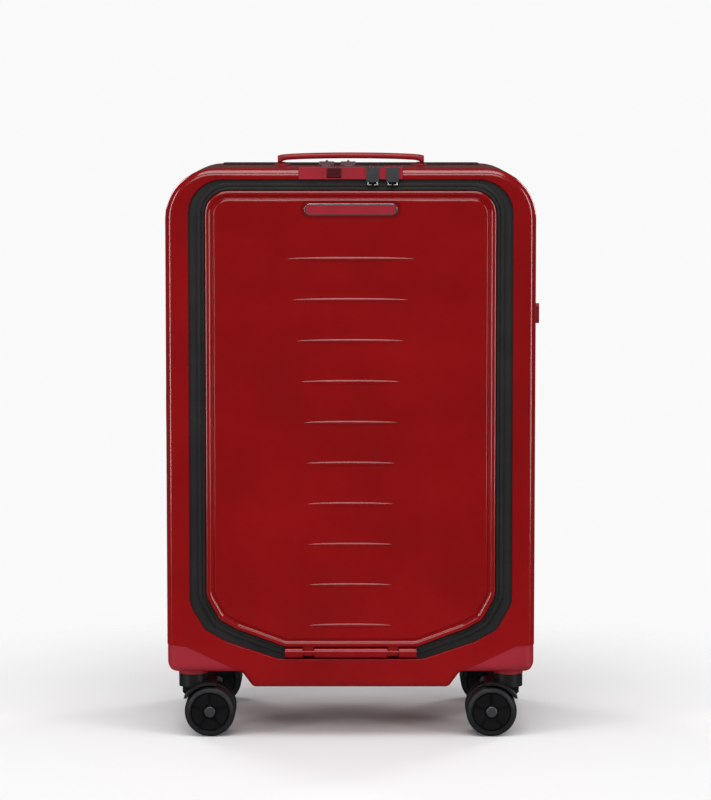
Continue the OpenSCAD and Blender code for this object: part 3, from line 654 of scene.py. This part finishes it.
# %% [markdown]
# ## Zips
# A zip is woven tape with moulded teeth in two rows. The teeth are tiny blocks set along the
# outline at an even pitch, all in one mesh. The pocket's zip is a hidden-coil kind: its tape
# stands up beside the door as two soft black lips that meet over the teeth.

# %% Zip helpers
def walk(loop, pitch):
    """Points at an even pitch along a closed loop, each with its direction."""
    spots, carry = [], 0.0
    for a, b in zip(loop, loop[1:] + loop[:1]):
        length = (b - a).length
        if length < 1e-7:
            continue
        way = (b - a) / length
        at = carry
        while at < length:
            spots.append((a + way * at, way))
            at += pitch
        carry = at - length
    return spots


def teeth(name, loop, y, pitch, size, body, where=None):
    """Blocks along a loop: size is along the loop, across the tape (depth), and standing height."""
    bm = bmesh.new()
    for k, (p, way) in enumerate(walk(loop, pitch)):
        if where and not where(p):
            continue
        made = bmesh.ops.create_cube(bm, size=1.0)
        out = Vector((way.y, 0, -way.x))
        along = Vector((way.x, 0, way.y))
        shift = 0.25 * size[1] * (1 if k % 2 else -1)
        basis = Matrix((along * size[0], Vector((0, size[1], 0)), out * size[2])).transposed().to_4x4()
        bmesh.ops.transform(bm, matrix=Matrix.Translation((p.x, y + shift, p.y)) @ basis, verts=made["verts"])
    obj = solid(name, bm, 30, merge=0)
    return place(obj, body, "zip_tape", BLACK_GLOSS)


SINK = 1 * MM
MAIN_Y = (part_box("main_zip")[1].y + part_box("expander_frame")[0].y) / 2
EXPANDER_Y = BACK_RIM - 0.15 * MM
zip_line = outline(CASE, CASE_R, -SINK + 0.1 * MM)
teeth("main_zip_teeth", zip_line, MAIN_Y, 1.9 * MM, (1.25 * MM, 3.4 * MM, 1.5 * MM), "expander")
teeth("expander_zip_teeth", zip_line, EXPANDER_Y - 1.2 * MM, 1.9 * MM, (1.25 * MM, 3.0 * MM, 1.5 * MM),
      "expander")


def lips():
    """The two raised lips of the pocket zip, round the door."""
    for name, g0, g1, body in (("pocket_zip_lip_inner", 0.5, 3.5, "pocket_door"),
                               ("pocket_zip_lip_outer", 3.9, 7.4, "front_half")):
        bm = bmesh.new()
        y = FACE + 2.5 * MM
        steps = [(g0, y), (g0, y - 1.6 * MM), (g0 + 0.5, y - 2.1 * MM), (g1 - 0.5, y - 2.1 * MM),
                 (g1, y - 1.6 * MM), (g1, y)]
        rings = [ring(bm, outline(DOOR, DOOR_R, g * MM), yy) for g, yy in steps]
        skin(bm, rings)
        join_rings(bm, rings[-1], rings[0])
        obj = solid(name, bm)
        hinge_low, hinge_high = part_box("door_hinge")
        gap = cutter([(hinge_low.x - 1e-4, hinge_low.z), (hinge_high.x + 1e-4, hinge_low.z),
                      (hinge_high.x + 1e-4, hinge_high.z + 3 * MM),
                      (hinge_low.x - 1e-4, hinge_high.z + 3 * MM)], FACE - 0.02, FACE + 0.02)
        place(cut(obj, [gap]), body, "zip_tape", TAPE)


lips()
print("zips done")

# %% [markdown]
# ## Fabric inside
# Three pieces of lining cloth show when the case opens: the pleated gusset that lets the
# expander out, the strip that hinges the front half on its left side, and the lining round the
# front half.

# %% Gusset, hinge strip and linings
def fabric_band(name, profile, thick=0.5 * MM):
    """A closed band of cloth round the case; profile is (inset, y) from back to front."""
    bm = bmesh.new()
    near = [ring(bm, outline(CASE, CASE_R, -inset), y) for inset, y in profile]
    far = [ring(bm, outline(CASE, CASE_R, -inset - thick), y) for inset, y in profile]
    skin(bm, near)
    skin(bm, far)
    join_rings(bm, near[0], far[0])
    join_rings(bm, near[-1], far[-1])
    return solid(name, bm, 80, merge=0)


def pleat(start, end, depth, steps=6):
    """Insets and depths of one soft pleat between two y positions."""
    return [(3.4 * MM + depth * math.sin(math.pi * k / steps) ** 1.5, start + (end - start) * k / steps)
            for k in range(steps + 1)]


def girth(inset):
    loop = outline(CASE, CASE_R, -inset)
    return sum((b - a).length for a, b in zip(loop, loop[1:] + loop[:1]))


fold = pleat(BACK_RIM + 3.6 * MM, BACK_RIM - 3.4 * MM, 15 * MM, 12)
gusset = fabric_band("expander_gusset", fold)
gusset.data.materials.append(LINING)
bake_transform(gusset)
girth(10 * MM)

bm = bmesh.new()
sides = []
strip_y = [FRONT_RIM + (8 - 16 * k / 12) * MM for k in range(13)]
for x in (-HALF_W + 3.3 * MM, -HALF_W + 3.9 * MM):
    columns = [[bm.verts.new((x, y, z * MM)) for z in range(112, 473, 12)] for y in strip_y]
    for a, b in zip(columns, columns[1:]):
        for j in range(len(a) - 1):
            bm.faces.new((a[j], a[j + 1], b[j + 1], b[j]))
    sides.append(columns)
near, far = sides
edges = [(near[0], far[0]), (near[-1], far[-1])]
edges += [([c[k] for c in near], [c[k] for c in far]) for k in (0, -1)]
for edge_a, edge_b in edges:
    for corners in zip(edge_a, edge_a[1:], edge_b[1:], edge_b):
        bm.faces.new(corners)
strip = solid("hinge_strip", bm, 80, merge=0)
strip.data.materials.append(LINING)
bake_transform(strip)

front_lining = fabric_band("front_lining", [(3.0 * MM, FRONT_RIM - y * MM) for y in (1, 3, 15, 30, 51)])
cut(front_lining, housing_cutters(FACE - 0.01, HOUSING_HIGH.y + 1 * MM))
place(front_lining, "front_half", "lining", LINING)

bm = bmesh.new()
door_back = [ring(bm, outline(DOOR, DOOR_R, -4 * MM), DOOR_FRONT + d * MM) for d in (6.02, 6.6)]
skin(bm, door_back)
for loop in door_back:
    cap(bm, loop)
place(solid("door_lining", bm), "pocket_door", "lining", LINING)

# %% [markdown]
# ## Fittings that keep the frame's shape
# Small moulded and cast pieces already have their true form. Each gets a copy whose triangles
# are joined into flat faces, and a fine bevel, because no moulded edge is perfectly sharp.

# %% Softened frame pieces
BODY_OF = {n: b for b, ns in frame["record"]["behaviour"]["bodies"].items() for n in ns}
SLOT_OF = {s["node"]: s["material_slot"] for s in frame["record"]["subparts"]}


def soften(node, mat, width=0.6, segments=3, angle=32):
    obj = solid(node + "_finished", mesh_of(node), angle, merge=0)
    mod = obj.modifiers.new("edges", "BEVEL")
    mod.width, mod.segments = width * MM, segments
    mod.limit_method, mod.angle_limit = "ANGLE", math.radians(angle)
    mod.harden_normals = False
    place(obj, BODY_OF[node], SLOT_OF[node], mat, node)
    return even_shading(obj)


FINISH = [("handle_socket", BLACK_MATTE, 0.5), ("tube_brackets", BLACK_MATTE, 0.6),
          ("grip", BLACK_MATTE, 1.2), ("grip_button", BLACK_GLOSS, 0.8), ("lock_housing", RED_MATTE, 0.8),
          ("lock_button", LOCK_DARK, 0.6), ("door_hinge", RED_SHELL, 0.6),
          ("expander_slider", GUNMETAL, 0.5), ("expander_pull", RED_SOFT, 0.8),
          ("main_pull_left", CHROME, 0.5), ("main_pull_right", CHROME, 0.5),
          ("main_slider_left", GUNMETAL, 0.4), ("main_slider_right", GUNMETAL, 0.4),
          ("pocket_pull_left", CHROME, 0.4), ("pocket_pull_right", CHROME, 0.4),
          ("pocket_slider_left", BLACK_GLOSS, 0.4), ("pocket_slider_right", BLACK_GLOSS, 0.4),
          ("badge_plate", CHROME, 0.3), ("top_handle_mounts", RED_MATTE, 0.4),
          ("side_handle_mounts", RED_MATTE, 0.4), ("hinge_pin", STEEL, 0.2),
          ("lock_dial_1", BLACK_GLOSS, 0.25), ("lock_dial_2", BLACK_GLOSS, 0.25),
          ("lock_dial_3", BLACK_GLOSS, 0.25)]
for half in ("front", "rear"):
    FINISH += [(f"{half}_housing_{side}", RED_MATTE, 1.6) for side in ("left", "right")]
    FINISH += [(f"fork_{half}_{side}", BLACK_MATTE, 0.7) for side in ("left", "right")]
    FINISH += [(f"axle_{half}_{side}", STEEL, 0.3) for side in ("left", "right")]
for node, mat, width in FINISH:
    soften(node, mat, width)

# the rest keep the frame's own solids with a proper finish
for node, mat in [("outer_tubes", ALU), ("middle_tubes", ALU), ("inner_tubes", ALU),
                  ("back_lining", LINING), ("pocket_liner", LINING), ("pocket_zip", TAPE),
                  ("main_zip", TAPE), ("expander_frame", TAPE),
                  ("rear_swivel_pins", STEEL), ("front_swivel_pins", STEEL)]:
    data = frame["nodes"][node].data
    data.materials.clear()
    data.materials.append(mat)
print("softened", len(FINISH), "pieces")

# %% [markdown]
# ## Wheels
# The tyre is a spun profile with fine concentric ridges on its face. The hub carries five
# raised pads, parted by narrow grooves, and a small cap at the centre.

# %% Wheels
def spun(bm, profile, segments=72):
    """Spins (radius, depth) points round the y axis through the origin."""
    verts = [bm.verts.new((r, y, 0)) for r, y in profile]
    edges = [bm.edges.new(pair) for pair in zip(verts, verts[1:])]
    bmesh.ops.spin(bm, geom=verts + edges, cent=(0, 0, 0), axis=(0, 1, 0), angle=math.tau,
                   steps=segments, use_merge=True)


def wheel(node, side_out):
    """side_out is -1 where the outer face looks to the front, 1 where it looks to the rear."""
    low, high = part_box(node)
    centre = (low + high) / 2
    inner_y = high.y if side_out < 0 else low.y
    r, w = (high.z - low.z) / 2, high.y - low.y
    base = Matrix.Translation((centre.x, inner_y, centre.z)) @ Matrix.Diagonal((1, side_out, 1, 1))
    bm = bmesh.new()
    t = MM
    tyre = [(r - 5.6 * t, 0.2 * t), (r - 2 * t, 0), (r - 0.7 * t, 0.6 * t), (r, 2.2 * t), (r, w - 4.5 * t),
            (r - 0.5 * t, w - 2.8 * t), (r - 1.5 * t, w - 1.4 * t), (r - 2.8 * t, w - 0.5 * t),
            (r - 3.4 * t, w - 0.2 * t), (r - 3.7 * t, w - 0.5 * t), (r - 4.1 * t, w - 0.1 * t),
            (r - 4.7 * t, w), (r - 5.0 * t, w - 0.5 * t), (r - 5.4 * t, w - 0.3 * t),
            (r - 5.7 * t, w - 1.8 * t), (r - 5.6 * t, 0.2 * t)]
    spun(bm, tyre)
    bmesh.ops.transform(bm, matrix=base, verts=bm.verts)
    place(solid(node + "_tyre", bm, 40), BODY_OF[node], "wheel_rubber", TYRE, node)
    bm = bmesh.new()
    hub_r = r - 5.8 * t
    hub = [(3.1 * t, 0.3 * t), (hub_r, 0.3 * t), (hub_r, w - 2.6 * t), (5.4 * t, w - 2.4 * t),
           (5.2 * t, w - 1.0 * t), (3.1 * t, w - 1.0 * t), (3.1 * t, 0.3 * t)]
    spun(bm, hub, 48)
    for k in range(5):
        pad(bm, math.radians(90 + 36 + 72 * k), 6.4 * t, hub_r - 0.7 * t, w - 2.7 * t, w - 0.9 * t)
    bmesh.ops.transform(bm, matrix=base, verts=bm.verts)
    place(solid(node + "_hub", bm, 30), BODY_OF[node], "wheel_rubber", BLACK_GLOSS)


def pad(bm, middle, r0, r1, y0, y1):
    """A raised sector between two radii, with straight sides that leave a tapered groove."""
    half_out, half_in = math.radians(32), math.radians(24)
    arc = [(r1, middle - half_out + half_out * 2 * k / 8) for k in range(9)]
    arc += [(r0, middle + half_in - half_in * 2 * k / 4) for k in range(5)]
    base_ring = [bm.verts.new((rr * math.cos(a), y0, rr * math.sin(a))) for rr, a in arc]
    shrunk = [(r1 - 0.5 * MM if rr == r1 else r0 + 0.4 * MM, middle + (a - middle) * 0.95) for rr, a in arc]
    mid = [bm.verts.new((rr * math.cos(a), y1 - 0.5 * MM, rr * math.sin(a))) for rr, a in arc]
    top = [bm.verts.new((rr * math.cos(a), y1, rr * math.sin(a))) for rr, a in shrunk]
    join_rings(bm, base_ring, mid)
    join_rings(bm, mid, top)
    bm.faces.new(top)
    bm.faces.new(base_ring)


for end in ("front", "rear"):
    for side in ("left", "right"):
        wheel(f"wheel_{end}_{side}_a", -1)
        wheel(f"wheel_{end}_{side}_b", 1)
print("wheels done")

# %% [markdown]
# ## Carry handles
# The soft handles bow up from their mounts. A rounded cross-section is carried along the bow,
# so the top is one smooth crowned surface.

# %% Carry handles
def section(x, low, high, half_depth, round_r):
    """A rounded section in the plane x, as 3D points with depth along y."""
    mid = (low + high) / 2
    loop = outline([(-half_depth, low - mid), (half_depth, low - mid), (half_depth, high - mid),
                    (-half_depth, high - mid)], [min(round_r, (high - low) * 0.49)] * 4)
    return [(x, p.x, mid + p.y) for p in loop]


def carry(node, rise, thick):
    """Built over x, standing on z = 0, then moved and turned to the node's place."""
    low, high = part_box(node)
    upright = node == "top_handle"
    half = ((high.x - low.x) if upright else (high.z - low.z)) / 2
    bm = bmesh.new()
    rings = []
    count = 48
    for k in range(count + 1):
        s = -1 + 2 * k / count
        x = half * s
        bow = max(0.0, 1 - abs(s) ** 6)
        crown = rise - 3.0 * MM * (1 - math.sqrt(max(0.0, 1 - s * s)))
        end = 1 if abs(s) < 0.9 else 1 - (abs(s) - 0.9) / 0.1 * 0.15
        bottom = crown - thick
        if abs(s) > 0.84:
            bottom = max(1.0 * MM, min(bottom, 1.0 * MM + (rise - thick) * bow * 1.25))
        points = section(x, bottom, max(crown, bottom + 1.5 * MM), 12 * MM * end, 2.6 * MM)
        rings.append([bm.verts.new(p) for p in points])
    for a, b in zip(rings, rings[1:]):
        join_rings(bm, a, b)
    bm.faces.new(rings[0])
    bm.faces.new(rings[-1])
    for side in (-1, 1):
        leg = bmesh.ops.create_cube(bm, size=1.0)
        stand = Matrix.Translation((side * (half - 5 * MM), 0, -8 * MM))
        bmesh.ops.transform(bm, verts=leg["verts"],
                            matrix=stand @ Matrix.Diagonal((4 * MM, 14 * MM, 22 * MM, 1)))
    if upright:
        move = Matrix.Translation(((low.x + high.x) / 2, (low.y + high.y) / 2, TOP))
    else:
        move = Matrix.Translation((-HALF_W, (low.y + high.y) / 2, (low.z + high.z) / 2)) \
            @ Matrix.Rotation(math.radians(-90), 4, "Y")
    bmesh.ops.transform(bm, matrix=move, verts=bm.verts)
    place(solid(node + "_grip", bm, 50), node, "soft_grip", RED_SOFT, node)


carry("top_handle", 12 * MM, 5.5 * MM)
carry("side_handle", 9 * MM, 4.2 * MM)
print("handles done")

# %% [markdown]
# ## Last pieces
# The door's two hinge knuckles, and a plain red inlay raised on the badge.

# %% Knuckles and badge inlay
def knuckles():
    hinge_low, hinge_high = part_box("door_hinge")
    y, z = FACE + 2 * MM, (hinge_low.z + hinge_high.z) / 2
    bm = bmesh.new()
    for side in (-1, 1):
        turn = Matrix.Translation((side * 40 * MM, y, z)) @ Matrix.Rotation(math.radians(90), 4, "Y")
        bmesh.ops.create_cone(bm, cap_ends=True, segments=32, radius1=3.6 * MM, radius2=3.6 * MM,
                              depth=10 * MM, matrix=turn)
        arm = bmesh.ops.create_cube(bm, size=1.0)
        reach = Matrix.Translation((side * 40 * MM, y - 1.6 * MM, z + 4 * MM))
        bmesh.ops.transform(bm, verts=arm["verts"],
                            matrix=reach @ Matrix.Diagonal((10 * MM, 3.2 * MM, 8 * MM, 1)))
    return solid("door_knuckles", bm, 35, merge=0)


place(knuckles(), "pocket_door", "polycarbonate", RED_SHELL)


def badge_inlay():
    low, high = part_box("badge_plate")
    bm = bmesh.new()
    a, b = [ring(bm, outline([(low.x + 2 * MM, low.z + 1.3 * MM), (high.x - 2 * MM, low.z + 1.3 * MM),
                              (high.x - 2 * MM, high.z - 1.3 * MM), (low.x + 2 * MM, high.z - 1.3 * MM)],
                             [3 * MM] * 4), y) for y in (low.y + 0.2 * MM, low.y - 0.15 * MM)]
    join_rings(bm, a, b)
    bm.faces.new(a)
    bm.faces.new(b)
    return solid("badge_inlay", bm)


place(badge_inlay(), "pocket_door", "polycarbonate", RED_MATTE)
